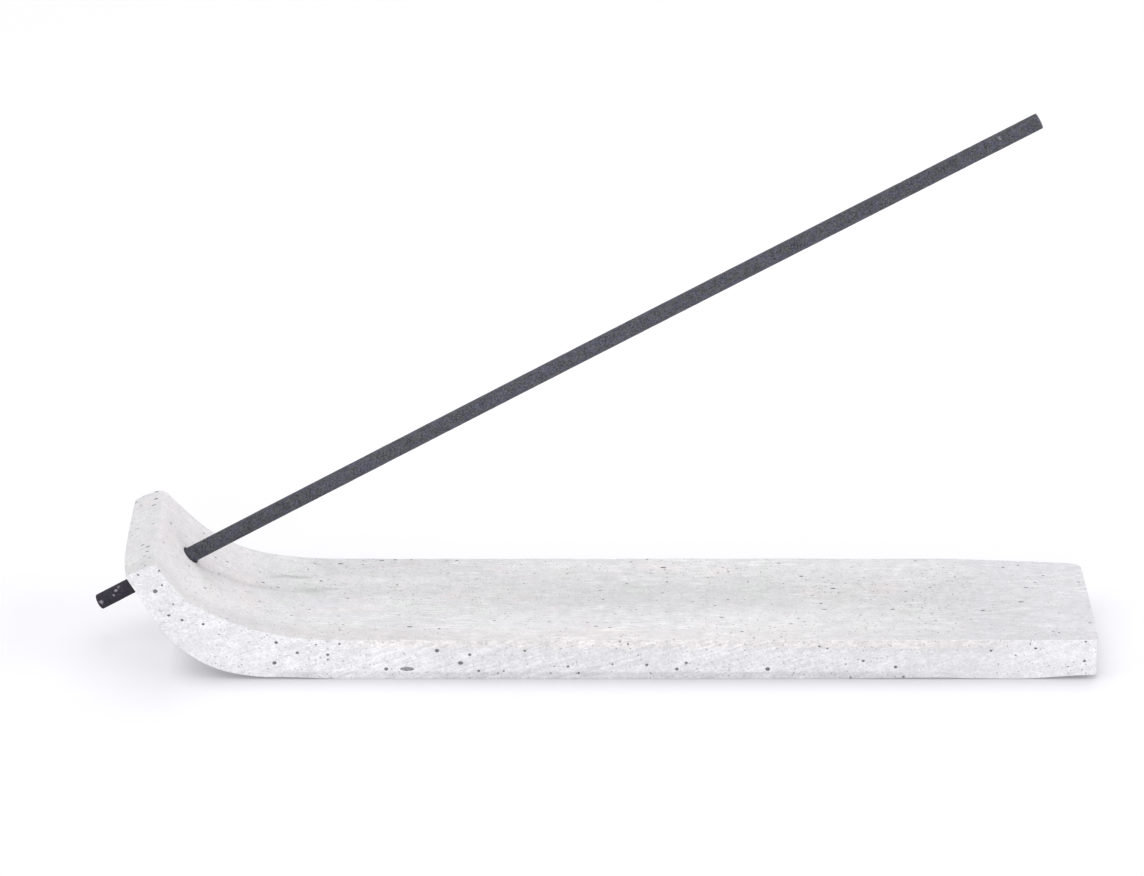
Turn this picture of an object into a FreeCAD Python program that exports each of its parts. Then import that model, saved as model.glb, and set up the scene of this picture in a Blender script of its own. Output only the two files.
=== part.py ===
import FreeCAD, Part
import math
import os

os.makedirs("parts", exist_ok=True)

# Driving dimensions, in millimetres and degrees.
# Frame: +X runs along the bed to its free end, +Y across it, +Z up.
# The origin is on the resting face, at the middle of the bed's length.

# Bed of the tray
tray_width = 37.0
tray_thickness = 9.6
bed_length = 178.0  # resting face, from the free end to the start of the heel
underside_bevel = 2.2
top_edge_radius = 0.4
near_corner_radius = 1.2
far_corner_radius = 2.4
far_taper_length = 29.0  # hand-worn taper of the far long side next to the free end
far_taper = 2.4
end_skew = 1.2  # how far the far corner of the free end sits behind the near one

# Raised end of the tray: its outer face is a round heel and a straight back
heel_radius = 27.8
heel_turn = 61.0
back_length = 12.4
tip_edge = 7.45  # end face, from outer to inner corner
tip_edge_turn = 66.0
tip_skew = 1.2  # how far the far corner of the end face sits below the near one
tip_lip_radius = 2.2

# Inner face of the raised end: a gentle arc out of the bed, then a tighter one to the tip
entry_radius = 54.5
entry_turn = 29.0
inner_turn = 68.0

# Shallow ash trough in the top face
trough_width = 27.0
trough_depth = 0.8
trough_offset = 2.0  # valley line, off the tray's middle
trough_tip_gap = 4.0  # plain face left at the tip
trough_end_gap = 6.0  # plain face left at the free end
trough_run_in = 26.0
trough_stations = 18
trough_cap = 1.0  # how far the cutter stands above the face
trough_lift = 0.02  # how far it is clear of the face at its ends

# Incense stick and its hole
stick_diameter = 3.5
stick_length = 230.6
stick_rise = 29.7  # above horizontal
stick_tail = 23.7  # lower end, below the mouth of the hole
stick_end_break = 0.15
mouth_turn = 41.8  # where the stick's axis meets the inner face
hole_clearance = 0.35  # radial

cut_margin = 1.0  # how far a cutter runs past the face that it cuts

# Sizes that follow from the ones above
x_free = bed_length / 2
x_heel = -bed_length / 2
half_width = tray_width / 2
hole_radius = stick_diameter / 2 + hole_clearance
hole_reach = 2 * tray_thickness  # to each side of the mouth, past both faces
trough_radius = (trough_width**2 / 4 + trough_depth**2) / (2 * trough_depth)


def vec(x, z, y=0.0):
    return FreeCAD.Vector(x, y, z)


def heading(turn):
    """Unit vector that leans back from -X towards +Z by turn degrees."""
    a = math.radians(turn)
    return vec(-math.cos(a), math.sin(a))


def inward(turn):
    """Unit vector square to heading, on the inner side of the bend."""
    a = math.radians(turn)
    return vec(math.sin(a), math.cos(a))


# Outer outline of the raised end
heel_centre = vec(x_heel, heel_radius)
heel_end = heel_centre - inward(heel_turn) * heel_radius
tip_outer = heel_end + heading(heel_turn) * back_length
tip_inner = tip_outer + inward(tip_edge_turn) * tip_edge

# Inner outline: the second radius makes both arcs meet at the tip
entry_rise = entry_radius * (1 - inward(entry_turn).z)
bend_radius = (tip_inner.z - tray_thickness - entry_rise) / (inward(entry_turn).z - inward(inner_turn).z)
bend_centre = tip_inner + inward(inner_turn) * bend_radius
knee = bend_centre - inward(entry_turn) * bend_radius
entry_centre = knee + inward(entry_turn) * entry_radius
bed_top = vec(entry_centre.x, tray_thickness)
bend_run = bend_radius * math.radians(inner_turn - entry_turn)
entry_run = entry_radius * math.radians(entry_turn)

# Stick axis
mouth = bend_centre - inward(mouth_turn) * bend_radius + vec(0, 0, trough_offset)
stick_axis = vec(math.cos(math.radians(stick_rise)), math.sin(math.radians(stick_rise)))
stick_low = mouth - stick_axis * stick_tail


def arc(centre, radius, turn_a, turn_b):
    """Edge on a bend, between two turn angles."""
    turns = (turn_a, (turn_a + turn_b) / 2, turn_b)
    return Part.Arc(*[centre - inward(t) * radius for t in turns]).toShape()


def side_profile():
    corner_low = vec(x_free, 0)
    corner_top = vec(x_free, tray_thickness)
    edges = [
        Part.makeLine(corner_low, vec(x_heel, 0)),
        arc(heel_centre, heel_radius, 0, heel_turn),
        Part.makeLine(heel_end, tip_outer),
        Part.makeLine(tip_outer, tip_inner),
        arc(bend_centre, bend_radius, inner_turn, entry_turn),
        arc(entry_centre, entry_radius, entry_turn, 0),
        Part.makeLine(bed_top, corner_top),
        Part.makeLine(corner_top, corner_low),
    ]
    face = Part.Face(Part.Wire(edges))
    face.translate(vec(0, 0, -half_width))
    return face.extrude(vec(0, 0, tray_width))


def free_end_cutter():
    """Plate that narrows the far long side and skews the free end."""
    low = -cut_margin
    outside_x = x_free + cut_margin
    outside_y = half_width + cut_margin
    corners = [
        vec(x_free - far_taper_length, low, half_width),
        vec(x_free - end_skew, low, half_width - far_taper),
        vec(x_free, low, -half_width),
        vec(outside_x, low, -half_width),
        vec(outside_x, low, outside_y),
        vec(x_free - far_taper_length, low, outside_y),
    ]
    plate = Part.Face(Part.makePolygon(corners + corners[:1]))
    return plate.extrude(vec(0, tray_thickness + 2 * cut_margin))


def tip_cutter():
    """Wedge that takes the end face down towards its far corner."""
    up = heading(heel_turn)
    across = inward(tip_edge_turn)
    near = tip_outer - across * cut_margin + vec(0, 0, -half_width)
    far = near + vec(0, 0, tray_width)
    wedge = Part.Face(Part.makePolygon([near, far - up * tip_skew, far + up * cut_margin, near]))
    return wedge.extrude(across * (tip_edge + 2 * cut_margin))


def trough_path(distance):
    """Point and turn on the inner face, a distance from the tip."""
    if distance < bend_run:
        turn = inner_turn - math.degrees(distance / bend_radius)
        return bend_centre - inward(turn) * bend_radius, turn
    if distance < bend_run + entry_run:
        turn = entry_turn - math.degrees((distance - bend_run) / entry_radius)
        return entry_centre - inward(turn) * entry_radius, turn
    return bed_top + vec(distance - bend_run - entry_run, 0), 0.0


def trough_cutter():
    """Round-bottomed cutter that follows the inner face and lifts out at both ends."""
    length = bend_run + entry_run + x_free - bed_top.x - trough_tip_gap - trough_end_gap
    sections = []
    for i in range(trough_stations):
        along = length * i / (trough_stations - 1)
        ramp = min(1.0, along / trough_run_in, (length - along) / trough_run_in)
        depth = (trough_depth + trough_lift) * ramp * ramp * (3 - 2 * ramp) - trough_lift
        sagitta = trough_cap + depth
        half_chord = math.sqrt(sagitta * (2 * trough_radius - sagitta))
        point, turn = trough_path(trough_tip_gap + along)
        point = point + vec(0, 0, trough_offset)
        rim = point + inward(turn) * trough_cap
        left = rim + vec(0, 0, -half_chord)
        right = rim + vec(0, 0, half_chord)
        bottom = point - inward(turn) * depth
        sections.append(Part.Wire([Part.Arc(left, bottom, right).toShape(), Part.makeLine(right, left)]))
    return Part.makeLoft(sections, True, False, False, 3)


def edges_where(shape, test):
    return [e for e in shape.Edges if test(e.BoundBox)]


def round_end_corner(tray, radius, test):
    """Fillet an upright edge of the free end."""
    at_end = x_free - far_taper_length / 2
    uprights = edges_where(tray, lambda b: b.XMin > at_end and b.ZLength > tray_thickness / 2)
    return tray.makeFillet(radius, [e for e in uprights if test(e.BoundBox)])


def make_tray():
    tray = side_profile().cut(free_end_cutter()).cut(tip_cutter())
    tray = round_end_corner(tray, near_corner_radius, lambda b: b.YMax < 0)
    tray = round_end_corner(tray, far_corner_radius, lambda b: b.YMin > half_width / 2)
    mid_tip = (tip_inner.z + tip_outer.z) / 2
    lip = edges_where(tray, lambda b: b.YLength > half_width and b.ZMax > mid_tip)
    tray = tray.makeFillet(tip_lip_radius, lip)
    under = edges_where(tray, lambda b: b.ZMax < underside_bevel / 2 and b.XMax > 0)
    tray = tray.makeChamfer(underside_bevel, under)
    rim = edges_where(tray, lambda b: abs(b.Center.z - tray_thickness) < top_edge_radius / 2 and b.XMax > 0)
    tray = tray.makeFillet(top_edge_radius, rim)
    hole = Part.makeCylinder(hole_radius, 2 * hole_reach, mouth - stick_axis * hole_reach, stick_axis)
    return tray.cut(trough_cutter()).cut(hole)


def make_stick():
    stick = Part.makeCylinder(stick_diameter / 2, stick_length, stick_low, stick_axis)
    rims = [e for e in stick.Edges if e.Closed]
    return stick.makeChamfer(stick_end_break, rims)


shapes = {"tray": make_tray(), "incense_stick": make_stick()}
for node, shape in shapes.items():
    shape.exportStep(f"parts/{node}.step")
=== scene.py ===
import bpy
import bmesh
import math
import random
from collections import namedtuple
from mathutils import Matrix, Vector, noise


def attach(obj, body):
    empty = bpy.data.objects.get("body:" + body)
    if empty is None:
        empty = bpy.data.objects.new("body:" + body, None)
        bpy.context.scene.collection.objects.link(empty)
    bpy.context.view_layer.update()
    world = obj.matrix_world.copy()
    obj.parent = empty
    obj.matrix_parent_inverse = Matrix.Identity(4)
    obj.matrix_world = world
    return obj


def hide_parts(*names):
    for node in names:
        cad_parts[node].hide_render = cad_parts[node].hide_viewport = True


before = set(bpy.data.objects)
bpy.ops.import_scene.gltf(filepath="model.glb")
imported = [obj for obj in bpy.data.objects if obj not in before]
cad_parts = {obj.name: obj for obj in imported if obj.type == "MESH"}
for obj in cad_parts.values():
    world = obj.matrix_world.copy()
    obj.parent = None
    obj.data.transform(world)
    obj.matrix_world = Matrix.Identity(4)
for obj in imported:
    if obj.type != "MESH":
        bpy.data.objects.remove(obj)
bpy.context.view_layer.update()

# Sizes are in millimetres and degrees, in the frame of the solids
MM = 0.001

# Tray: bed, round heel, straight back, end face, and an inner face of two arcs
TRAY_WIDTH = 37.0
TRAY_THICKNESS = 9.6
BED_LENGTH = 178.0
HEEL_RADIUS = 27.8
HEEL_TURN = 61.0
BACK_LENGTH = 12.4
TIP_EDGE = 7.45
TIP_EDGE_TURN = 66.0
ENTRY_RADIUS = 54.5
ENTRY_TURN = 29.0
INNER_TURN = 68.0
FAR_TAPER_LENGTH = 29.0
FAR_TAPER = 2.4
END_SKEW = 1.2

# Ash trough
TROUGH_WIDTH = 27.0
TROUGH_DEPTH = 0.8
TROUGH_OFFSET = 2.0
TROUGH_TIP_GAP = 4.0
TROUGH_END_GAP = 6.0
TROUGH_RUN_IN = 26.0

# Stick and its hole
STICK_DIAMETER = 3.5
STICK_LENGTH = 230.6
STICK_RISE = 29.7
STICK_TAIL = 23.7
STICK_BOW = 0.26
STICK_END_BREAK = 0.16
STICK_SIDES = 40
STICK_ROW_PITCH = 0.8
MOUTH_TURN = 41.8
HOLE_CLEARANCE = 0.35
HOLE_SIDES = 56

# Edges of the straight block
TOP_ARRIS = 0.45
UNDERSIDE_BEVEL = 2.2
NEAR_CORNER = 1.4
FAR_CORNER = 2.4
TIP_LIP = 2.2
TIP_BACK_ARRIS = 0.7
UNDERSIDE_START = 1.0  # the underside's bevel leaves out the tip
RIM_START = 3.0  # and so does the top arris
ROW_PITCH = 0.6
ON_EDGE = 0.01  # how near to a face of the block its edges are looked for
TRAY_SMOOTH_ANGLE = 38.0
STICK_SMOOTH_ANGLE = 50.0

# Unevenness of the bent block. A falloff says how fast one face's form dies out towards the other face.
FAR_LEAN = 2.0
TIP_SKEW = 0.8
TIP_SKEW_AT_BACK = 0.3  # share of it on the outer face
TIP_FULLNESS = 0.5
TIP_REACH = 25.0
TIP_CROWN = 0.95
CROWN_Y = -7.0
CROWN_FAR_REACH = 25.0
CROWN_FADE = (3, 24)
CROWN_FALLOFF = 2
FAR_BULGE = 0.75
FAR_BULGE_RUN = 8.0
FAR_BULGE_REACH = 6.0
FAR_HOLLOW = 0.9
FAR_HOLLOW_RUN = 24.0
FAR_HOLLOW_REACH = 9.0
FULLNESS_FALLOFF = 4
TROUGH_FALLOFF = 8
CREASE_DEPTH = 0.38
CREASE_HALF_WIDTH = 1.9
CREASE_Y = 1.4
CREASE_DRIFT = 0.14  # across, for each millimetre along
CREASE_RUN = 12.0
CREASE_FADE_IN = (9, 14)
CREASE_FADE_OUT = (26, 44)
CREASE_POWER = 1.3

# Wear of the lower edge, which stands a little off the table
HEEL_LIFT = 0.45
HEEL_LIFT_ENDS = (17, 1, -15, -3)  # in front of the heel's start and behind it
END_LIFT = 1.0
END_LIFT_REACH = 18.0
EDGE_WEAR = 0.28
EDGE_WEAR_X = 53.0
EDGE_WEAR_REACH = 13.0
EDGE_WEAR_Y = (-8, -16)

# Chips along the top arrises, and the long and short waves of a hand-sanded face
CHIP_DEPTH = 0.6
CHIP_REACH = 1.0
CHIP_LENGTH = 1.3
CHIP_WIDTH = 9.0
CHIP_SPACING = 4.5
CHIP_SPACING_SHARE = 0.6
CHIP_SLICE = 3.0  # height of the slice of noise that spaces them
CHIP_LEVEL = 0.2  # noise above which the arris is chipped
NEAR_CHIP = 0.4
FAR_CHIP = 0.1
SANDED_WAVES = ((21.0, 0.12), (6.0, 0.05))
SANDED_MARGIN = 3.0
SANDED_TOP_SHARE = 0.6
# And the grain of the stick's skin, in the same way
STICK_WAVES = ((0.55, 0.022), (2.4, 0.02))
STICK_SINK = 0.02

# Casting pores
SEED = 11
PORE_COUNT = 620
PORE_GAP = 0.7
PORE_SINK = 0.25
HOLE_MARGIN = 1.5
LARGE_PORE = 0.33
TOP_RADII = (0.1, 0.22)
TOP_STRETCH = (1.2, 3.0)
SIDE_RADII = (0.11, 0.32)
SIDE_STRETCH = (0.9, 1.4)
END_FACE_GAIN = 1.35
# Chance of a pore: clusters by noise, more on the cast sides, and the end face's near and far half
CLUSTER_SIZE = 9.0
CLUSTER_LEAST = 0.2
CLUSTER_NOISE = (-0.1, 0.5)
SIDE_CHANCE = 2.6
END_FACE_CHANCE = (0.8, 1.8)
# Faces by their normals: the top, the raised end's end face, and those without pores
TOP_LOOK = 0.5
END_FACE_LOOK = -0.2
END_FACE_DROP = 3.0  # how far the end face reaches below the outer corner of the tip
UNDERSIDE_LOOK = -0.75
ARRIS_LOOK = (0.2, 0.9)
# The largest pores, placed one by one: x, z and half length on the near side
SIDE_PORES = (
    (-116.5, 25.5, 0.3), (-112, 26.5, 0.3), (-111.5, 23, 0.3), (-113, 21.5, 0.55), (-107.5, 14.5, 0.35),
    (-103, 13.5, 0.35), (-88, 4, 0.5), (-87.5, 9, 0.4), (-83, 6.5, 0.4), (-79, 8.5, 0.28),
    (-76.5, 6, 0.38), (-76.5, 4.8, 0.3), (-64, 2.5, 0.45), (-59.5, 2.5, 1.6), (-53, 7, 0.5),
    (-48, 4, 0.6), (-46, 6, 0.4), (-8, 3.5, 0.38), (-1.5, 2.5, 0.42), (0.5, 4, 0.38),
    (18, 2.5, 0.55), (38.5, 4.5, 0.38), (45.5, 3, 0.4), (86, 4.5, 0.35),
)
SIDE_PORE_HEIGHT = 0.5
SIDE_PORE_ROUNDNESS = 0.9  # height of a short one, for each millimetre of its length
SIDE_PORE_DEPTH = 0.5  # divided by the length, because a long one is shallower
# And x, y and half length on the top
TOP_PORES = (
    (-79, 9, 0.5), (-75, 16, 0.7), (-59, -12.5, 0.7), (-4, 14.5, 0.7),
    (33, 6, 0.6), (65, -4.5, 0.6), (73.5, -1, 0.7),
)
TOP_PORE_WIDTH = 0.25

# Colours of the concrete
COOL_GREY = (0.772, 0.763, 0.788, 1)
PALE_GREY = (0.808, 0.8, 0.813, 1)
PINK_PATCH = (0.84, 0.793, 0.806, 1)
GREEN_PATCH = (0.768, 0.786, 0.774, 1)
SIDE_GREY = (0.8, 0.796, 0.836, 1)
END_GREY = (0.757, 0.75, 0.778, 1)
ROSY_BEND = (0.845, 0.81, 0.828, 1)
RIM_BLUSH = (0.815, 0.782, 0.784, 1)
CRUMB = (0.815, 0.782, 0.782, 1)
# Inside of the pores: dust and painted shade
DARK_DUST_AND_SHADE = (0.27, 0.27, 0.275, 1)
PALE_DUST_AND_SHADE = (0.44, 0.44, 0.45, 1)

# Sizes of the concrete's marks along x, y and z
TINT_PATCH = (13, 9, 9)
TROWEL_LINE = (4, 0.8, 4)
PALE_STROKE = (6, 0.9, 6)
DARK_DASH = (2.2, 0.8, 2.2)
SAW_SCRATCH = (11, 11, 0.6)
SAW_TILT = -19.0
PALE_FLECK = (1.7, 0.34, 0.34)
CRUMB_SPECK = (1.3, 0.7, 0.7)

# Shares of shade of the marks, paler or darker
STROKE_SHARE = 0.11
DASH_SHARE = -0.12
SCRATCH_SHARE = 0.09
FLECK_SHARE = 0.11
ROSY_BEND_LIGHT_SHARE = 0.04
RIM_SHARES = (-0.035, -0.07)
ARRIS_HIGHLIGHT_SHARES = (0.06, 0.22)
SPECK_SHARES = (-0.07, 0.07)
CRUMB_SHADOW_SHARES = (-0.02, -0.07)
FOOT_SHADE_AND_DIRT_SHARE = -0.14
PINHOLE_SHADE_SHARE = -0.36

# Where the marks are: each pair runs from none of a mark to all of it, or from one share to the other
BLUSH_X = (-88, -70)
BLUSH_FADE_X = (30, -10)
BLUSH_Y = (-12, -15.5)
ROSY_X = (-84, -100)
GREY_END_X = (40, 70)
TROWELLED_X = (-96, -72)
SAWN_HEEL_X = (-112, -76)
SAWN_END_X = (45, 5)
GRAINY_X = (60, 15)
RIM_X = (-84, -96)
RIM_Y = (-12.5, -15.5)
ARRIS_HIGHLIGHT_X = (0, 70)
CRUMBS_START_X = (-80, -66)
CRUMBS_END_X = (78, 58)
CRUMBS_Z = (7.3, 8.3)
CRUMB_SHADOW_END_X = (78, 62)
CRUMB_SHADOW_X = (10, 30)
CRUMB_SHADOW_LOW_Z = (6.6, 7.2)
CRUMB_SHADOW_HIGH_Z = (8.0, 7.5)
FOOT_START_X = (-94, -80)
FOOT_END_X = (66, 36)
FOOT_Z = (2.1, 1.5)

# Patches of wear and of painted light: the faces that they are on, their share of shade, and where they
# are.
# Each pair along x or y runs from none of the patch to all of it, a third value being the least of it.
WEAR_AND_PAINTED_LIGHT_PATCHES = {
    "ash stain in the trough": ("top", -0.095, ((84, 50), (-62, -40)), ((-9, 2), (17, 6))),
    "dull far strip": ("top", -0.09, ((-25, -60), (-86, -76)), ((8, 14),)),
    "run-out of the crease": ("top", -0.075, ((-86, -78), (-44, -62)), ((1.2, 4.2), (9.2, 6.2))),
    # painted light: the near slope of the trough, which tilts towards the back, made lighter in the bed
    # and in the bend
    "painted light on the near half of the bed": ("top", 0.07, ((52, 8), (-62, -40)), ((1, -9),)),
    "painted light on the near half of the bend": ("inner", 0.08, ((-108, -100), (-46, -78)), ((2, -2), (-15, -9))),
    "chalky heel": ("side", 0.08, ((-110, -98, 0.4), (-44, -66)), ()),
    "chalky free end": ("side", 0.08, ((66, 80),), ()),
}
# Dark lines in the trough, painted shade along the crease and along a fainter second crease, and a dark
# mark: x and y of each end, half width and share of shade
CREASE_SHADE_AND_MARK_LINES = (
    # painted shade along the crease
    ((-105.5, 1.4), (-74.0, 5.8), 2.1, -0.12),
    # a dark mark
    ((-92.0, 8.2), (-78.5, 11.3), 1.2, -0.22),
    # painted shade along a fainter second crease
    ((-105.0, 5.6), (-94.5, 6.0), 0.8, -0.09),
)
DARK_LINE_FADE = 5.0
# Painted shade where the near arris is chipped, and a darker patch on the top of the free end: centre,
# reach, full core and share of shade
CHIP_SHADE_AND_DARK_PATCH = (
    ((-107.0, -18.3, 22.6), 1.3, 0.5, -0.22),
    ((68.0, -9.0, 9.6), 12.0, 3.0, -0.04),
)

# Colours of the stick, and its pale spots: distance from its lower end, turn about its axis and reach
STEM_GREY = (0.09, 0.092, 0.096, 1)
STEM_BLUE = (0.087, 0.09, 0.124, 1)
TAIL_BLACK = (0.043, 0.039, 0.055, 1)
SPOT_GREY = (0.3, 0.28, 0.33, 1)
TAIL_FADE = (9, 16)
# Painted shade on the stem near the hole: the distance from the lower end where it is gone, and the
# shade at the hole
STEM_LIT_FROM = 75.0
STEM_SHADE = 0.78
PALE_SPOTS = ((0.9, 15, 0.5), (5.8, 60, 0.4), (5.0, 42, 0.42), (4.2, 22, 0.36), (221.7, 45, 0.45))

# Table: its colour as a light source and as seen, and the lift to white that the camera sees, which
# fades near the object into a painted contact shadow
TABLE_SIZE = 3000.0
TABLE_GAP = 0.02
TABLE_WHITE = (0.86, 0.86, 0.86, 1)
TABLE_SHADE = (0.655, 0.65, 0.685, 1)
TABLE_LIFT = 0.26
TABLE_LEAST_LIFT = 0.09
CONTACT_SHADOW_REACH = 8.0
CONTACT_SHADOW_OPEN = 0.45  # share of open sky below which only the least lift is left
CONTACT_SHADOW_CURVE = 0.6

# Surroundings: strength of their light on the object. Lamps: place, size in metres and watts
WORLD_LIGHT = 0.35
LAMPS = {
    "front_softbox": ((-150, -950, 150), 0.7, 4.4),
    "left_softbox": ((-800, -150, 650), 0.8, 3.2),
    "right_softbox": ((900, -200, 500), 0.8, 4.0),
    "back_softbox": ((100, 550, 900), 1.0, 4.5),
}

# Camera: a long lens above the table, square to the tray's long side
CAMERA_TARGET = (-24.06, 0, 48.81)
CAMERA_DISTANCE = 1164.8
CAMERA_ELEVATION = 27.0
SENSOR_WIDTH = 36.0
FOCAL_LENGTH = 171.18
CLIP_START = 50.0


def inward(turn):
    """Unit vector in XZ, square to the bend and pointing to its inner side."""
    a = math.radians(turn)
    return Vector((math.sin(a), 0.0, math.cos(a)))


def heading(turn):
    """Unit vector in XZ along the bend, towards the tip."""
    a = math.radians(turn)
    return Vector((-math.cos(a), 0.0, math.sin(a)))


# Sizes and places that follow from the ones above
X_HEEL = -BED_LENGTH / 2
X_FREE = BED_LENGTH / 2
HALF_WIDTH = TRAY_WIDTH / 2
HEEL_RUN = HEEL_RADIUS * math.radians(HEEL_TURN)
BLOCK_LENGTH = BACK_LENGTH + HEEL_RUN + BED_LENGTH
HEEL_CENTRE = Vector((X_HEEL, 0, HEEL_RADIUS))
HEEL_END = HEEL_CENTRE - inward(HEEL_TURN) * HEEL_RADIUS
TIP_OUTER = HEEL_END + heading(HEEL_TURN) * BACK_LENGTH
TIP_INNER = TIP_OUTER + inward(TIP_EDGE_TURN) * TIP_EDGE
ENTRY_RISE = ENTRY_RADIUS * (1 - inward(ENTRY_TURN).z)
BEND_RISE = TIP_INNER.z - TRAY_THICKNESS - ENTRY_RISE
BEND_RADIUS = BEND_RISE / (inward(ENTRY_TURN).z - inward(INNER_TURN).z)
BEND_CENTRE = TIP_INNER + inward(INNER_TURN) * BEND_RADIUS
KNEE = BEND_CENTRE - inward(ENTRY_TURN) * BEND_RADIUS
ENTRY_CENTRE = KNEE + inward(ENTRY_TURN) * ENTRY_RADIUS
BEND_RUN = BEND_RADIUS * math.radians(INNER_TURN - ENTRY_TURN)
ENTRY_RUN = ENTRY_RADIUS * math.radians(ENTRY_TURN)
INNER_LENGTH = BEND_RUN + ENTRY_RUN + X_FREE - ENTRY_CENTRE.x
MOUTH = BEND_CENTRE - inward(MOUTH_TURN) * BEND_RADIUS + Vector((0, TROUGH_OFFSET, 0))
STICK_AXIS = Vector((math.cos(math.radians(STICK_RISE)), 0, math.sin(math.radians(STICK_RISE))))
STICK_LOW = MOUTH - STICK_AXIS * STICK_TAIL
STICK_RADIUS = STICK_DIAMETER / 2
HOLE_RADIUS = STICK_RADIUS + HOLE_CLEARANCE


def smooth(low, high, value):
    """Smooth step from 0 at low to 1 at high."""
    t = min(1.0, max(0.0, (value - low) / (high - low)))
    return t * t * (3 - 2 * t)


def hump(value, centre, reach):
    """Bell curve, 1 at its centre."""
    return math.exp(-((value - centre) / reach) ** 2)


def outer_point(run):
    """Point on the outer face, a run from the tip."""
    if run < BACK_LENGTH:
        return TIP_OUTER - heading(HEEL_TURN) * run
    if run < BACK_LENGTH + HEEL_RUN:
        turn = HEEL_TURN - math.degrees((run - BACK_LENGTH) / HEEL_RADIUS)
        return HEEL_CENTRE - inward(turn) * HEEL_RADIUS
    return Vector((X_HEEL + run - BACK_LENGTH - HEEL_RUN, 0, 0))


def inner_point(run):
    """Point on the inner face, a run from the tip."""
    if run < BEND_RUN:
        turn = INNER_TURN - math.degrees(run / BEND_RADIUS)
        return BEND_CENTRE - inward(turn) * BEND_RADIUS
    if run < BEND_RUN + ENTRY_RUN:
        turn = ENTRY_TURN - math.degrees((run - BEND_RUN) / ENTRY_RADIUS)
        return ENTRY_CENTRE - inward(turn) * ENTRY_RADIUS
    return Vector((ENTRY_CENTRE.x + run - BEND_RUN - ENTRY_RUN, 0, TRAY_THICKNESS))


def inner_run(run):
    """Run on the inner face that lies across from a run on the outer face."""
    bed = BLOCK_LENGTH - (INNER_LENGTH - BEND_RUN - ENTRY_RUN)
    if run > bed:
        return run - BLOCK_LENGTH + INNER_LENGTH
    return run * (BEND_RUN + ENTRY_RUN) / bed


def trough_depth(run, y):
    """Depth of the ash trough below the inner face."""
    start = TROUGH_TIP_GAP
    end = INNER_LENGTH - TROUGH_END_GAP
    along = smooth(0, TROUGH_RUN_IN, run - start) * smooth(0, TROUGH_RUN_IN, end - run)
    across = (y - TROUGH_OFFSET) / (TROUGH_WIDTH / 2)
    return TROUGH_DEPTH * along * max(0.0, 1 - across * across)


def crease_depth(run, y):
    """Soft fold in the trough, from the stick's hole to the start of the bed."""
    along = smooth(*CREASE_FADE_IN, run) * (1 - smooth(*CREASE_FADE_OUT, run))
    off = abs(y - CREASE_Y - CREASE_DRIFT * (run - CREASE_RUN))
    return CREASE_DEPTH * along * max(0.0, 1 - off / CREASE_HALF_WIDTH) ** CREASE_POWER


def far_fullness(run, far):
    """The far half of the inner face is straighter than the near one."""
    bulge = FAR_BULGE * hump(run, FAR_BULGE_RUN, FAR_BULGE_REACH)
    hollow = FAR_HOLLOW * hump(run, FAR_HOLLOW_RUN, FAR_HOLLOW_REACH)
    return far ** 2 * (bulge - hollow)


def tip_crown(run, y):
    """The back bulges a little between its two sides, most of all at the tip."""
    reach = HALF_WIDTH + CROWN_Y if y < CROWN_Y else CROWN_FAR_REACH
    across = (y - CROWN_Y) / reach
    return TIP_CROWN * max(0.0, 1 - across * across) * (1 - smooth(*CROWN_FADE, run))


def edge_lift(x, y):
    """How far the worn lower edge stands off the table."""
    front_low, front_high, back_low, back_high = (X_HEEL + d for d in HEEL_LIFT_ENDS)
    heel = HEEL_LIFT * smooth(front_low, front_high, x) * smooth(back_low, back_high, x)
    end = END_LIFT * smooth(X_FREE - END_LIFT_REACH, X_FREE, x)
    near = EDGE_WEAR * hump(x, EDGE_WEAR_X, EDGE_WEAR_REACH) * smooth(*EDGE_WEAR_Y, y)
    return heel + end + near


def bend_block(point):
    """Takes a point of the straight block to its place in the bent tray."""
    run, y, z = point
    far = (y + HALF_WIDTH) / TRAY_WIDTH
    run -= END_SKEW * far * smooth(BLOCK_LENGTH - FAR_TAPER_LENGTH, BLOCK_LENGTH, run)
    level = z / TRAY_THICKNESS
    skew = TIP_SKEW * (TIP_SKEW_AT_BACK + (1 - TIP_SKEW_AT_BACK) * level)
    skew -= TIP_FULLNESS * 4 * level * (1 - level)
    run += skew * far * (1 - smooth(0, TIP_REACH, run))
    if y > 0:
        y -= FAR_TAPER * y / HALF_WIDTH * max(0.0, (run - BLOCK_LENGTH) / FAR_TAPER_LENGTH + 1)
    across_run = inner_run(run)
    outer = outer_point(run)
    inner = inner_point(across_run)
    placed = outer.lerp(inner, level)
    into = (outer - inner).normalized()
    hollow = trough_depth(across_run, y) + crease_depth(across_run, y)
    placed += into * hollow * level ** TROUGH_FALLOFF
    placed -= into * far_fullness(across_run, far) * level ** FULLNESS_FALLOFF
    placed += into * tip_crown(run, y) * (1 - level) ** CROWN_FALLOFF
    lean = math.radians(FAR_LEAN) * far * (1 - smooth(0, BACK_LENGTH + HEEL_RUN, run))
    heel = Vector((X_HEEL, 0, 0))
    placed = Matrix.Rotation(-lean, 3, "Y") @ (placed - heel) + heel
    placed.z += edge_lift(placed.x, y) * (1 - level)
    placed.y = y
    return placed


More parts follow.
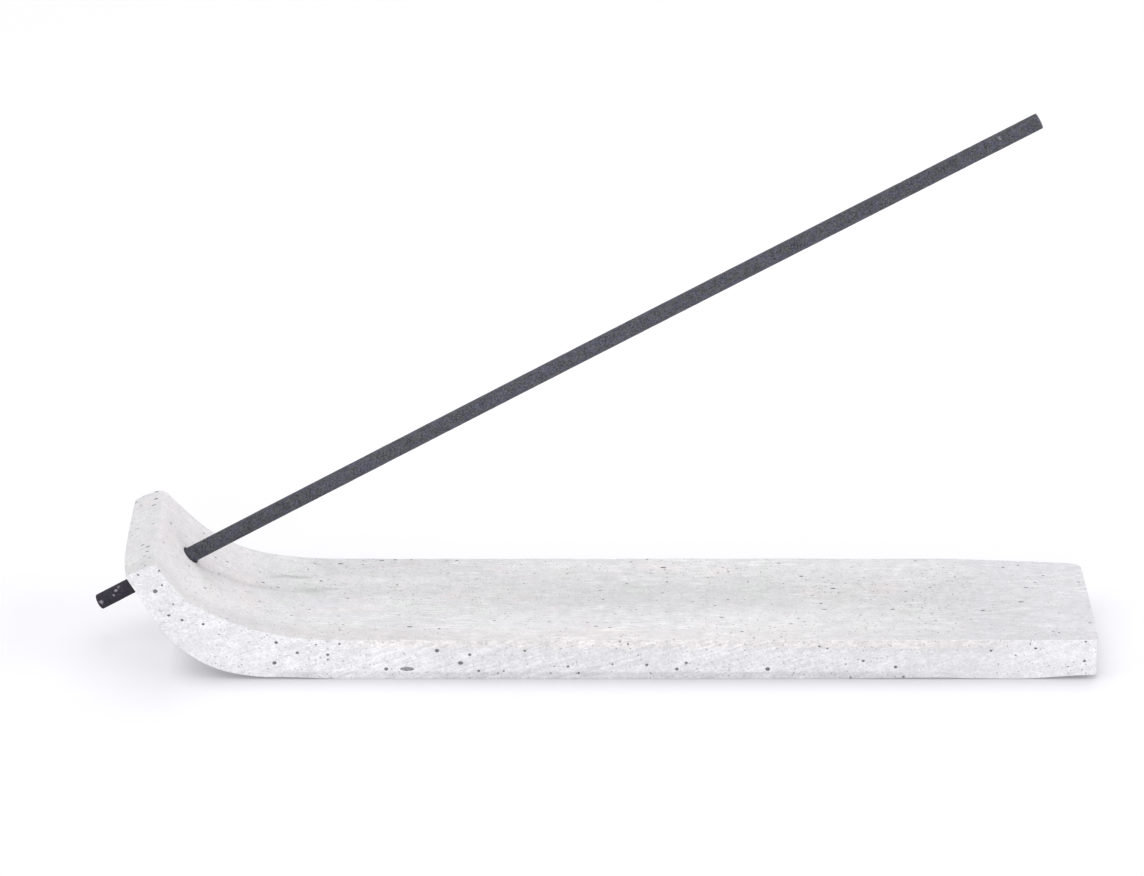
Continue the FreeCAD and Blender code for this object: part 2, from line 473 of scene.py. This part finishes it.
def arris_chips(point):
    """Small chips along the top arrises of the straight block."""
    run, y, z = point
    depth = min(HALF_WIDTH - abs(y), TRAY_THICKNESS - z)
    span = max(HALF_WIDTH - abs(y), TRAY_THICKNESS - z)
    if depth > CHIP_DEPTH or span > CHIP_REACH:
        return point
    chip = noise.noise(Vector((run / CHIP_LENGTH, y / CHIP_WIDTH, z / CHIP_WIDTH)))
    chip += CHIP_SPACING_SHARE * noise.noise(Vector((run / CHIP_SPACING, y, CHIP_SLICE)))
    most = NEAR_CHIP if y < 0 else FAR_CHIP
    bite = most * max(0.0, chip - CHIP_LEVEL) * (CHIP_REACH - span)
    return Vector((run, y - math.copysign(bite, y), z - bite))


def waves(point, lengths_and_heights):
    """Sum of noises, each with its own length and height."""
    return sum(noise.noise(point / length) * height for length, height in lengths_and_heights)


def hand_wear(point):
    """Slight unevenness of a hand-sanded casting, always into the body of it."""
    wave = waves(point, SANDED_WAVES)
    if abs(point.y) > HALF_WIDTH - SANDED_MARGIN:
        point.y -= math.copysign(abs(wave), point.y)
    if point.z > SANDED_MARGIN:
        point.z -= abs(wave) * SANDED_TOP_SHARE
    return point


def bevel(bm, test, width, segments):
    """Bevels the edges whose middle passes a test."""
    edges = [e for e in bm.edges if test((e.verts[0].co + e.verts[1].co) / 2)]
    bmesh.ops.bevel(bm, geom=edges, offset=width, segments=segments, profile=0.5,
                    affect="EDGES", material=-1, clamp_overlap=True)


def cut_rows(bm, axis, least, pitch):
    """Cuts the edges that run along an axis, and are longer than least, into rows."""
    edges = [e for e in bm.edges if abs((e.verts[0].co - e.verts[1].co)[axis]) > least]
    longest = max(e.calc_length() for e in edges)
    bmesh.ops.subdivide_edges(bm, edges=edges, cuts=round(longest / pitch), use_grid_fill=True)


def settle_faces(bm):
    """Puts the faces in a fixed order, because cutting rows leaves them in a chance one."""
    ranked = sorted(bm.faces, key=lambda f: tuple(f.calc_center_median()))
    for index, face in enumerate(ranked):
        face.index = index
    bm.faces.sort()


def mesh_object(name, bm, *materials):
    """Object at the origin, from a mesh in millimetres."""
    bmesh.ops.scale(bm, vec=(MM, MM, MM), verts=bm.verts)
    mesh = bpy.data.meshes.new(name)
    bm.to_mesh(mesh)
    bm.free()
    made = bpy.data.objects.new(name, mesh)
    for material in materials:
        mesh.materials.append(material)
    bpy.context.collection.objects.link(made)
    return made


def tray_block():
    """Straight block with worn arrises, cut into rows and bent to the tray's outline."""
    bm = bmesh.new()
    place = Matrix.Translation((BLOCK_LENGTH / 2, 0, TRAY_THICKNESS / 2))
    size = Matrix.Diagonal((BLOCK_LENGTH, TRAY_WIDTH, TRAY_THICKNESS, 1))
    bmesh.ops.create_cube(bm, size=1.0, matrix=place @ size)
    top = TRAY_THICKNESS - ON_EDGE
    side = HALF_WIDTH - ON_EDGE
    end = BLOCK_LENGTH - ON_EDGE
    bevel(bm, lambda c: c.x > end and c.y < -side, NEAR_CORNER, 4)
    bevel(bm, lambda c: c.x > end and c.y > side, FAR_CORNER, 5)
    bevel(bm, lambda c: c.x < ON_EDGE and c.z > top, TIP_LIP, 5)
    bevel(bm, lambda c: c.x < ON_EDGE and c.z < ON_EDGE, TIP_BACK_ARRIS, 3)
    bevel(bm, lambda c: abs(c.z) < ON_EDGE and c.x > UNDERSIDE_START, UNDERSIDE_BEVEL, 1)
    bevel(bm, lambda c: c.z > top and c.x > RIM_START, TOP_ARRIS, 3)
    for axis, length in enumerate((BLOCK_LENGTH, TRAY_WIDTH, TRAY_THICKNESS)):
        cut_rows(bm, axis, length / 2, ROW_PITCH)
    for v in bm.verts:
        v.co = hand_wear(bend_block(arris_chips(v.co)))
    bmesh.ops.recalc_face_normals(bm, faces=bm.faces)
    settle_faces(bm)
    return bm


def along_stick(distance):
    """Matrix that stands +Z along the stick, a distance above its lower end."""
    turn = Vector((0, 0, 1)).rotation_difference(STICK_AXIS).to_matrix().to_4x4()
    return Matrix.Translation(STICK_LOW + STICK_AXIS * distance) @ turn


def on_stick(distance, turn):
    """Point on the stick's skin: turn 0 faces the near side, 90 faces up."""
    up = Vector((-STICK_AXIS.z, 0, STICK_AXIS.x))
    a = math.radians(turn)
    out = up * math.sin(a) - Vector((0, math.cos(a), 0))
    return STICK_LOW + STICK_AXIS * distance + out * STICK_RADIUS


Pore = namedtuple("Pore", "centre reach normal half_sizes")


def add_pore(bm, pore):
    """Blunt hollow, whose middle lies a little below the point of the face where it opens."""
    turn = Vector((0, 0, 1)).rotation_difference(pore.normal).to_matrix().to_4x4()
    sink = Matrix.Translation((0, 0, -PORE_SINK * pore.half_sizes[2]))
    shape = sink @ Matrix.Diagonal((*pore.half_sizes, 1))
    bmesh.ops.create_icosphere(bm, subdivisions=2 if pore.reach > LARGE_PORE else 1, radius=1.0,
                               matrix=Matrix.Translation(pore.centre) @ turn @ shape)


def on_end_face(face):
    """Whether a face is on the end face of the raised end."""
    lowest = TIP_OUTER.z - END_FACE_DROP
    return face.normal.x < END_FACE_LOOK and face.calc_center_median().z > lowest


def pore_weight(face):
    """Chance of a pore in a face: clustered, and higher on the cast sides than on the top."""
    centre = face.calc_center_median()
    if on_end_face(face):
        near, far = END_FACE_CHANCE
        return face.calc_area() * (far if centre.y > 0 else near)
    cluster = CLUSTER_LEAST + smooth(*CLUSTER_NOISE, noise.noise(centre / CLUSTER_SIZE))
    return face.calc_area() * cluster * (1 if face.normal.z > TOP_LOOK else SIDE_CHANCE)


def chosen_pores():
    """The largest pores, in their places."""
    near = Vector((0, -1, 0))
    up = Vector((0, 0, 1))
    pores = []
    for x, z, length in SIDE_PORES:
        height = min(SIDE_PORE_HEIGHT, SIDE_PORE_ROUNDNESS * length)
        half_sizes = (length, height, min(height, SIDE_PORE_DEPTH / length))
        pores.append(Pore(Vector((x, -HALF_WIDTH, z)), length, near, half_sizes))
    for x, y, length in TOP_PORES:
        depth = trough_depth(INNER_LENGTH - X_FREE + x, y)
        half_sizes = (length, TOP_PORE_WIDTH, TOP_PORE_WIDTH)
        pores.append(Pore(Vector((x, y, TRAY_THICKNESS - depth)), length, up, half_sizes))
    return pores


def add_random_pores(pores, faces):
    """Small pores in faces drawn by weight, clear of the hole and of each other."""
    chance = random.Random(SEED)
    weights = [pore_weight(f) for f in faces]
    for face in chance.choices(faces, weights, k=PORE_COUNT * 2):
        centre = face.calc_center_median()
        on_top = face.normal.z > TOP_LOOK
        least, most = TOP_RADII if on_top else SIDE_RADII
        radius = least + (most - least) * chance.random() ** (2 if on_top else 3)
        stretch = chance.uniform(*(TOP_STRETCH if on_top else SIDE_STRETCH))
        if on_end_face(face):
            radius *= END_FACE_GAIN
        reach = radius * stretch
        off_axis = (centre - MOUTH).cross(STICK_AXIS).length
        if off_axis < HOLE_RADIUS + HOLE_MARGIN or len(pores) == PORE_COUNT:
            continue
        if any((centre - p.centre).length < reach + p.reach + PORE_GAP for p in pores):
            continue
        pores.append(Pore(centre, reach, face.normal.copy(), (reach, radius, radius)))


def pore_cutters(block):
    """Stick hole and casting pores, as one set of cutters that don't meet."""
    pores = chosen_pores()
    low, high = ARRIS_LOOK
    plain = [f for f in block.faces if not low < abs(f.normal.y) < high]
    add_random_pores(pores, [f for f in plain if f.normal.z > UNDERSIDE_LOOK])
    bm = bmesh.new()
    for pore in pores:
        add_pore(bm, pore)
    bmesh.ops.create_cone(bm, cap_ends=True, segments=HOLE_SIDES, radius1=HOLE_RADIUS,
                          radius2=HOLE_RADIUS, depth=2 * STICK_TAIL, matrix=along_stick(STICK_TAIL))
    for face in bm.faces:
        face.material_index = 1
    return bm


def make_tray(concrete, pore):
    block = tray_block()
    block.normal_update()
    cutters = pore_cutters(block)
    tray = mesh_object("cast_tray", block, concrete, pore)
    cutter = mesh_object("pore_cutter", cutters, concrete, pore)
    cut = tray.modifiers.new("pores", "BOOLEAN")
    cut.operation = "DIFFERENCE"
    cut.solver = "MANIFOLD"
    cut.object = cutter
    bpy.context.view_layer.update()
    finished = tray.evaluated_get(bpy.context.evaluated_depsgraph_get())
    mesh = bpy.data.meshes.new_from_object(finished)
    tray.modifiers.clear()
    tray.data = mesh
    bpy.data.objects.remove(cutter)
    mesh.shade_smooth()
    mesh.set_sharp_from_angle(angle=math.radians(TRAY_SMOOTH_ANGLE))
    return tray


def make_stick(material):
    """Pressed stick with a grainy skin, bowed a little upwards at its middle."""
    bm = bmesh.new()
    bmesh.ops.create_cone(bm, cap_ends=True, segments=STICK_SIDES, radius1=STICK_RADIUS,
                          radius2=STICK_RADIUS, depth=STICK_LENGTH)
    rims = [e for e in bm.edges if abs(e.verts[0].co.z - e.verts[1].co.z) < ON_EDGE]
    bmesh.ops.bevel(bm, geom=rims, offset=STICK_END_BREAK, segments=2, profile=0.5,
                    affect="EDGES", material=-1)
    cut_rows(bm, 2, STICK_LENGTH / 2, STICK_ROW_PITCH)
    for v in bm.verts:
        v.co.xy *= 1 + (waves(v.co, STICK_WAVES) - STICK_SINK) / STICK_RADIUS
    for v in bm.verts:
        v.co.x -= STICK_BOW * math.cos(math.pi * v.co.z / STICK_LENGTH)
    bmesh.ops.transform(bm, matrix=along_stick(STICK_LENGTH / 2), verts=bm.verts)
    settle_faces(bm)
    stick = mesh_object("charcoal_stick", bm, material)
    stick.data.shade_smooth()
    stick.data.set_sharp_from_angle(angle=math.radians(STICK_SMOOTH_ANGLE))
    return stick


class Shader:
    """Short way to place and join shader nodes."""

    def __init__(self, tree):
        self.tree = tree

    def put(self, value, socket):
        """Gives a socket another one to read, or a plain value."""
        if isinstance(value, bpy.types.NodeSocket):
            self.tree.links.new(value, socket)
        else:
            socket.default_value = value

    def add(self, kind, values=None, **settings):
        made = self.tree.nodes.new("ShaderNode" + kind)
        for key, value in settings.items():
            setattr(made, key, value)
        for key, value in (values or {}).items():
            self.put(value, made.inputs[key])
        return made

    def math(self, operation, a, b=0.0, c=0.0):
        return self.add("Math", {0: a, 1: b, 2: c}, operation=operation).outputs[0]

    def product(self, first, *others):
        for other in others:
            first = self.math("MULTIPLY", first, other)
        return first

    def ramp(self, value, low, high, to_low=0.0, to_high=1.0):
        """Smooth step from one value at low to another at high."""
        made = self.add("MapRange", {"Value": value, "From Min": low, "From Max": high,
                                     "To Min": to_low, "To Max": to_high},
                        interpolation_type="SMOOTHSTEP")
        return made.outputs["Result"]

    def noise(self, vector, scale, detail=3.0, rough=0.55):
        looks = {"Vector": vector, "Scale": scale, "Detail": detail, "Roughness": rough}
        return self.add("TexNoise", looks).outputs["Fac"]

    def distance(self, vector, point):
        return self.add("VectorMath", {0: vector, 1: point}, operation="DISTANCE").outputs["Value"]

    def blend(self, factor, a, b):
        return self.add("Mix", {0: factor, 2: a, 3: b}).outputs[0]

    def mix(self, factor, a, b, blend="MIX"):
        made = self.add("Mix", {0: factor, 6: a, 7: b}, data_type="RGBA", blend_type=blend)
        return made.outputs[2]

    def shaded(self, colour, shade):
        """Colour times a grey shade."""
        grey = self.add("CombineXYZ", {0: shade, 1: shade, 2: shade}).outputs[0]
        return self.mix(1.0, colour, grey, "MULTIPLY")


def new_material(name):
    material = bpy.data.materials.new(name)
    material.use_nodes = True
    sh = Shader(material.node_tree)
    return material, sh, material.node_tree.nodes["Principled BSDF"].inputs


def grain_group():
    """Salt and pepper grain: a shade around 1 and a height for bump."""
    group = bpy.data.node_groups.new("mineral_grain", "ShaderNodeTree")
    face = group.interface
    face.new_socket("Place", in_out="INPUT", socket_type="NodeSocketVector")
    face.new_socket("Fineness", in_out="INPUT", socket_type="NodeSocketFloat")
    face.new_socket("Contrast", in_out="INPUT", socket_type="NodeSocketFloat")
    face.new_socket("Shade", in_out="OUTPUT", socket_type="NodeSocketFloat")
    face.new_socket("Height", in_out="OUTPUT", socket_type="NodeSocketFloat")
    sh = Shader(group)
    given = group.nodes.new("NodeGroupInput").outputs
    fine = sh.noise(given["Place"], given["Fineness"], 5.0, 0.7)
    coarse = sh.noise(given["Place"], sh.math("MULTIPLY", given["Fineness"], 0.23), 3.0)
    both = sh.math("MULTIPLY_ADD", fine, 0.8, sh.math("MULTIPLY", coarse, 0.2))
    swing = sh.math("MULTIPLY", sh.math("SUBTRACT", both, 0.5), given["Contrast"])
    out = group.nodes.new("NodeGroupOutput").inputs
    sh.put(sh.math("ADD", swing, 1.0), out["Shade"])
    sh.put(both, out["Height"])
    return group


def add_grain(sh, grain, place, fineness, contrast):
    body = sh.add("Group", node_tree=grain)
    for key, value in (("Place", place), ("Fineness", fineness), ("Contrast", contrast)):
        sh.put(value, body.inputs[key])
    return body.outputs


def place_in_mm(sh, size=(1, 1, 1), turn=0.0):
    """Object coordinates, turned about Y and then counted in steps of a size in millimetres."""
    coords = sh.add("TexCoord").outputs["Object"]
    steps = [d * MM for d in size]
    turned = {"Vector": coords, "Rotation": (0, math.radians(turn), 0), "Scale": steps}
    return sh.add("Mapping", turned, vector_type="TEXTURE").outputs[0]


class Concrete:
    """Colour and shade of the casting, while its marks are laid on one after another.

    Noise on the plain place has its scale per millimetre.
    """

    def __init__(self, sh):
        self.sh = sh
        self.place = place_in_mm(sh)
        self.x, self.y, self.z = sh.add("SeparateXYZ", {0: self.place}).outputs
        normal = sh.add("NewGeometry").outputs["Normal"]
        self.facing_x, self.facing_y, self.facing_z = sh.add("SeparateXYZ", {0: normal}).outputs
        self.side = sh.ramp(sh.math("ABSOLUTE", self.facing_y), 0.6, 0.85)
        self.top = sh.ramp(self.facing_z, 0.5, 0.8)
        self.inner = sh.ramp(self.facing_z, 0.15, 0.4)
        self.cloud = sh.noise(self.place, 0.06, 4.0)
        self.mottle = sh.noise(self.place, 0.34, 5.0, 0.65)
        wobble = sh.math("MULTIPLY_ADD", sh.noise(self.place, 0.25, 3.0), 2.4, -1.2)
        self.wavy_y = sh.math("ADD", self.y, wobble)
        self.wander = sh.math("MULTIPLY_ADD", sh.noise(self.place, 0.5, 4.0, 0.7), 5.0, -2.5)
        self.colour = sh.mix(sh.ramp(self.cloud, 0.35, 0.65), COOL_GREY, PALE_GREY)
        self.shade = sh.ramp(self.mottle, 0.25, 0.75, 0.95, 1.05)

    def tint(self, colour, *masks):
        """Another colour, where every mask is 1."""
        self.colour = self.sh.mix(self.sh.product(*masks), self.colour, colour)

    def tone(self, share, *masks):
        """Darker or paler by a share, where every mask is 1."""
        change = self.sh.math("MULTIPLY_ADD", self.sh.product(*masks), share, 1.0)
        self.shade = self.sh.product(self.shade, change)


def lay_tints(cast):
    """Pinkish and greenish patches, cooler sides, a blushed rim, a rosy bend with painted light on its
    inner face, and a grey free end.
    """
    sh = cast.sh
    patches = sh.noise(place_in_mm(sh, TINT_PATCH), 1.0, 3.0)
    cast.tint(PINK_PATCH, sh.ramp(patches, 0.55, 0.72, 0.0, 0.8))
    cast.tint(GREEN_PATCH, sh.ramp(patches, 0.45, 0.3, 0.0, 0.7))
    cast.tint(SIDE_GREY, cast.side, 0.7)
    along_rim = sh.product(sh.ramp(cast.x, *BLUSH_X), sh.ramp(cast.x, *BLUSH_FADE_X, 0.15, 0.65))
    cast.tint(RIM_BLUSH, sh.ramp(cast.wavy_y, *BLUSH_Y), cast.top, along_rim)
    # The inner face of the bend, which faces the free end: pinkish, and with painted light
    rosy = sh.product(sh.ramp(cast.x, *ROSY_X), sh.ramp(cast.facing_x, 0.1, 0.5))
    cast.tint(ROSY_BEND, rosy, 0.5)
    cast.tone(ROSY_BEND_LIGHT_SHARE, rosy)
    cast.tint(END_GREY, sh.ramp(cast.x, *GREY_END_X), cast.top, 0.8)


def lay_tool_marks(cast):
    """Trowel strokes on the bed and saw scratches on the sides, which it returns as a height."""
    sh = cast.sh
    worn = sh.ramp(sh.noise(cast.place, 0.13, 2.0), 0.35, 0.6, 0.45, 1.0)
    on_bed = sh.product(sh.ramp(cast.x, *TROWELLED_X), worn)
    trowel = sh.noise(place_in_mm(sh, TROWEL_LINE), 1.0, 5.0, 0.75)
    trowel = sh.blend(on_bed, 0.5, trowel)
    sawn = sh.product(sh.ramp(cast.x, *SAWN_HEEL_X, 0.4), sh.ramp(cast.x, *SAWN_END_X, 0.5))
    scratch = sh.noise(place_in_mm(sh, SAW_SCRATCH, SAW_TILT), 1.0, 3.0, 0.6)
    scratch = sh.blend(sawn, 0.5, scratch)
    lines = sh.blend(cast.side, trowel, scratch)
    cast.shade = sh.product(cast.shade, sh.ramp(lines, 0.28, 0.72, 0.92, 1.07))
    strokes = sh.noise(place_in_mm(sh, PALE_STROKE), 1.0, 2.0)
    cast.tone(STROKE_SHARE, sh.ramp(strokes, 0.57, 0.65), on_bed, cast.top)
    dashes = sh.noise(place_in_mm(sh, DARK_DASH), 1.0, 1.0)
    cast.tone(DASH_SHARE, sh.ramp(dashes, 0.34, 0.26), cast.top)
    clouded = sh.product(sh.ramp(cast.cloud, 0.4, 0.6), sawn)
    cast.tone(SCRATCH_SHARE, sh.ramp(scratch, 0.58, 0.68), clouded, cast.side)
    return lines


def lay_grain(cast, grain):
    """Fine grain, stronger on the sides, and pale flecks. It returns the grain's height."""
    sh = cast.sh
    stronger = sh.product(cast.side, sh.ramp(cast.x, *GRAINY_X, 0.2, 0.45))
    body = add_grain(sh, grain, cast.place, 2.3, sh.math("ADD", stronger, 0.7))
    cast.shade = sh.product(cast.shade, body["Shade"])
    flecks = sh.noise(place_in_mm(sh, PALE_FLECK), 1.0, 1.0)
    cast.tone(FLECK_SHARE, sh.ramp(flecks, 0.6, 0.7))
    return body["Height"]


def dark_line_mask(cast, start, end, width):
    """Mask of a line that is wavy when seen from above, from one x and y to another."""
    sh = cast.sh
    slope = (end[1] - start[1]) / (end[0] - start[0])
    line_y = sh.math("MULTIPLY_ADD", cast.x, slope, start[1] - slope * start[0])
    off = sh.math("ABSOLUTE", sh.math("SUBTRACT", cast.wavy_y, line_y))
    fade_in = sh.ramp(cast.x, start[0], start[0] + DARK_LINE_FADE)
    fade_out = sh.ramp(cast.x, end[0], end[0] - DARK_LINE_FADE)
    return sh.product(sh.ramp(off, width, 0.1), fade_in, fade_out)


def lay_wear(cast):
    """Worn patches, painted light on the near slopes of the trough, painted shade along the creases, a
    dark mark, painted shade of a chip, a darker patch, and a darker rim along the near arris.
    """
    sh = cast.sh
    faces = {"top": cast.top, "inner": cast.inner, "side": cast.side}
    for face, share, along, across in WEAR_AND_PAINTED_LIGHT_PATCHES.values():
        ramps = [sh.ramp(cast.x, *r) for r in along] + [sh.ramp(cast.y, *r) for r in across]
        cast.tone(share, faces[face], *ramps)
    # painted shade along the creases, and a dark mark
    for start, end, width, share in CREASE_SHADE_AND_MARK_LINES:
        cast.tone(share, dark_line_mask(cast, start, end, width))
    # painted shade of a chip on the near arris, and a darker patch
    for centre, reach, core, share in CHIP_SHADE_AND_DARK_PATCH:
        cast.tone(share, sh.ramp(sh.distance(cast.place, centre), reach, core))
    rim_share = sh.ramp(cast.x, *RIM_X, *RIM_SHARES)
    cast.tone(rim_share, sh.ramp(cast.wavy_y, *RIM_Y), cast.inner)


def lay_edges(cast):
    """Painted highlight on the near arris, crumbs below it with a thin painted shadow under them, and a
    dark foot of painted shade and dirt.
    """
    sh = cast.sh
    # Painted highlight along the rounded near arris, where it faces up and to the front
    arris = sh.product(sh.ramp(cast.facing_z, 0.25, 0.5), sh.ramp(cast.facing_y, -0.2, -0.5))
    cast.tone(sh.ramp(cast.x, *ARRIS_HIGHLIGHT_X, *ARRIS_HIGHLIGHT_SHARES), arris)

    level = sh.math("ADD", cast.z, cast.wander)
    along_bed = sh.product(sh.ramp(cast.x, *CRUMBS_START_X), sh.ramp(cast.x, *CRUMBS_END_X))
    crumbs = sh.product(sh.ramp(level, *CRUMBS_Z), cast.side, along_bed)
    cast.tint(CRUMB, crumbs, 0.75)
    speck = sh.noise(place_in_mm(sh, CRUMB_SPECK), 1.0, 2.0)
    cast.tone(sh.ramp(speck, 0.38, 0.62, *SPECK_SHARES), crumbs)
    # Painted shadow of the crumbs, a thin darker band just below them
    under = sh.product(sh.ramp(level, *CRUMB_SHADOW_LOW_Z), sh.ramp(level, *CRUMB_SHADOW_HIGH_Z))
    crumb_shadow_share = sh.ramp(cast.x, *CRUMB_SHADOW_X, *CRUMB_SHADOW_SHARES)
    cast.tone(crumb_shadow_share, under, cast.side, sh.ramp(cast.x, *CRUMB_SHADOW_END_X))

    # Painted shade and dirt on the foot: the lowest band of the side, and the faces that look down
    low = sh.math("MULTIPLY_ADD", cast.wander, 0.12, cast.z)
    foot = sh.product(sh.ramp(low, *FOOT_Z), cast.side)
    foot = sh.math("MAXIMUM", foot, sh.ramp(cast.facing_z, -0.3, -0.6))
    cast.tone(FOOT_SHADE_AND_DIRT_SHARE, foot, sh.ramp(cast.x, *FOOT_START_X), sh.ramp(cast.x, *FOOT_END_X))


def lay_pinholes(cast):
    """Pinholes darkened with painted shade, wider in some clouds than in others. It returns their mask.
    """
    sh = cast.sh
    apart = sh.add("TexVoronoi", {"Vector": cast.place, "Scale": 0.8, "Randomness": 1.0})
    apart = sh.math("ADD", apart.outputs["Distance"], sh.ramp(cast.cloud, 0.3, 0.7, 0.05, -0.05))
    pinholes = sh.ramp(apart, 0.08, 0.16, 1.0, 0.0)
    cast.tone(PINHOLE_SHADE_SHARE, pinholes)
    return pinholes


def concrete_material(grain):
    material, sh, skin = new_material("cast_concrete")
    cast = Concrete(sh)
    lay_tints(cast)
    lines = lay_tool_marks(cast)
    grain_height = lay_grain(cast, grain)
    lay_wear(cast)
    lay_edges(cast)
    pinholes = lay_pinholes(cast)
    height = sh.math("MULTIPLY_ADD", pinholes, -0.8, grain_height)
    height = sh.math("MULTIPLY_ADD", lines, 0.6, height)
    bump = sh.add("Bump", {"Strength": 0.5, "Distance": 0.14 * MM, "Height": height})
    sh.put(bump.outputs[0], skin["Normal"])
    sh.put(sh.shaded(cast.colour, cast.shade), skin["Base Color"])
    sh.put(sh.ramp(cast.mottle, 0.3, 0.7, 0.78, 0.9), skin["Roughness"])
    sh.put(0.3, skin["Specular IOR Level"])
    return material


def pore_material():
    """Inside of the pores, where dust and painted shade keep the concrete dark."""
    material, sh, skin = new_material("pore_dust_and_shade")
    dust = sh.noise(place_in_mm(sh), 2.2, 3.0)
    sh.put(sh.mix(sh.ramp(dust, 0.35, 0.65), DARK_DUST_AND_SHADE, PALE_DUST_AND_SHADE), skin["Base Color"])
    sh.put(0.9, skin["Roughness"])
    sh.put(0.1, skin["Specular IOR Level"])
    return material


def charcoal_material(grain):
    """Grey stem with a bluish tint, a darker tail, painted shade near the hole and a few pale spots."""
    material, sh, skin = new_material("charcoal_incense")
    place = place_in_mm(sh)
    body = add_grain(sh, grain, place, 2.8, 5.2)
    along = sh.add("VectorMath", {0: place, 1: STICK_AXIS}, operation="DOT_PRODUCT").outputs["Value"]
    low = STICK_LOW.dot(STICK_AXIS)
    stem = sh.mix(sh.ramp(sh.noise(place, 0.9, 2.0), 0.35, 0.65), STEM_GREY, STEM_BLUE)
    tail = sh.ramp(along, low + TAIL_FADE[0], low + TAIL_FADE[1], 1.0, 0.0)
    colour = sh.mix(tail, stem, TAIL_BLACK)
    # painted shade on the stem next to the hole
    painted_shade_near_hole = sh.ramp(along, low + STICK_TAIL, low + STEM_LIT_FROM, STEM_SHADE)
    colour = sh.shaded(colour, sh.product(sh.math("MAXIMUM", body["Shade"], 0.35), painted_shade_near_hole))
    ragged = sh.noise(place, 1.8, 3.0, 0.7)
    for distance, turn, reach in PALE_SPOTS:
        spot = sh.distance(place, on_stick(distance, turn))
        spot = sh.math("MULTIPLY_ADD", ragged, 1.6, spot)
        colour = sh.mix(sh.ramp(spot, reach + 0.85, reach + 0.5, 0.0, 0.85), colour, SPOT_GREY)
    bump = sh.add("Bump", {"Strength": 0.6, "Distance": 0.12 * MM, "Height": body["Height"]})
    sh.put(bump.outputs[0], skin["Normal"])
    sh.put(colour, skin["Base Color"])
    sh.put(sh.ramp(body["Height"], 0.3, 0.7, 0.7, 0.92), skin["Roughness"])
    sh.put(0.25, skin["Specular IOR Level"])
    return material


def seen_directly(sh):
    """1 for rays from the camera, and for mirrored or refracted ones."""
    path = sh.add("LightPath").outputs
    mirrored = sh.math("MAXIMUM", path["Is Glossy Ray"], path["Is Transmission Ray"])
    return sh.math("MAXIMUM", path["Is Camera Ray"], mirrored)


def table_material():
    """White table: lit like any surface, and lifted to white where the camera sees it.

    The lift fades close to the object by ambient occlusion, a painted contact shadow that keeps its
    line of contact dark.
    """
    material, sh, skin = new_material("white_table")
    seen = seen_directly(sh)
    sh.put(sh.mix(seen, TABLE_WHITE, TABLE_SHADE), skin["Base Color"])
    sh.put(0.9, skin["Roughness"])
    nearby = sh.add("AmbientOcclusion", {"Distance": CONTACT_SHADOW_REACH * MM}, samples=6).outputs["AO"]
    clear = sh.add("MapRange", {"Value": nearby, "From Min": CONTACT_SHADOW_OPEN}).outputs["Result"]
    clear = sh.math("POWER", clear, CONTACT_SHADOW_CURVE)
    lift = sh.math("MULTIPLY_ADD", clear, TABLE_LIFT, TABLE_LEAST_LIFT)
    glow = sh.add("Emission", {"Color": (1, 1, 1, 1), "Strength": sh.product(seen, lift)})
    surface = material.node_tree.nodes["Material Output"].inputs["Surface"]
    lit = material.node_tree.nodes["Principled BSDF"].outputs[0]
    sh.put(sh.add("AddShader", {0: lit, 1: glow.outputs[0]}).outputs[0], surface)
    return material


def make_stage():
    bm = bmesh.new()
    bmesh.ops.create_grid(bm, x_segments=2, y_segments=2, size=TABLE_SIZE)
    bmesh.ops.translate(bm, verts=bm.verts, vec=(0, 0, -TABLE_GAP))
    table = mesh_object("table", bm, table_material())


def light_scene():
    """White surroundings, dimmer for what they light, and four softboxes aimed at the bed."""
    world = bpy.data.worlds.new("studio")
    bpy.context.scene.world = world
    world.use_nodes = True
    sh = Shader(world.node_tree)
    back = world.node_tree.nodes["Background"].inputs
    sh.put((1, 1, 1, 1), back["Color"])
    strength = sh.math("MULTIPLY_ADD", seen_directly(sh), 1 - WORLD_LIGHT, WORLD_LIGHT)
    sh.put(strength, back["Strength"])
    for name, (place, size, watts) in LAMPS.items():
        lamp = bpy.data.lights.new(name, "AREA")
        lamp.size = size
        lamp.energy = watts
        made = bpy.data.objects.new(name, lamp)
        made.location = Vector(place) * MM
        made.rotation_euler = (-made.location).to_track_quat("-Z", "Y").to_euler()
        bpy.context.collection.objects.link(made)


def aim_camera():
    elevation = math.radians(CAMERA_ELEVATION)
    lens = bpy.data.cameras.new("photo_camera")
    lens.sensor_width = SENSOR_WIDTH
    lens.lens = FOCAL_LENGTH
    lens.clip_start = CLIP_START * MM
    camera = bpy.data.objects.new("photo_camera", lens)
    back = Vector((0, -math.cos(elevation), math.sin(elevation)))
    camera.location = (Vector(CAMERA_TARGET) + back * CAMERA_DISTANCE) * MM
    camera.rotation_euler = (math.pi / 2 - elevation, 0, 0)
    bpy.context.collection.objects.link(camera)
    bpy.context.scene.camera = camera


grain = grain_group()
tray = make_tray(concrete_material(grain), pore_material())
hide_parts("tray")
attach(tray, "tray")
stick = make_stick(charcoal_material(grain))
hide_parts("incense_stick")
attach(stick, "stick")
make_stage()
light_scene()
aim_camera()
bpy.context.scene.view_settings.view_transform = "Standard"
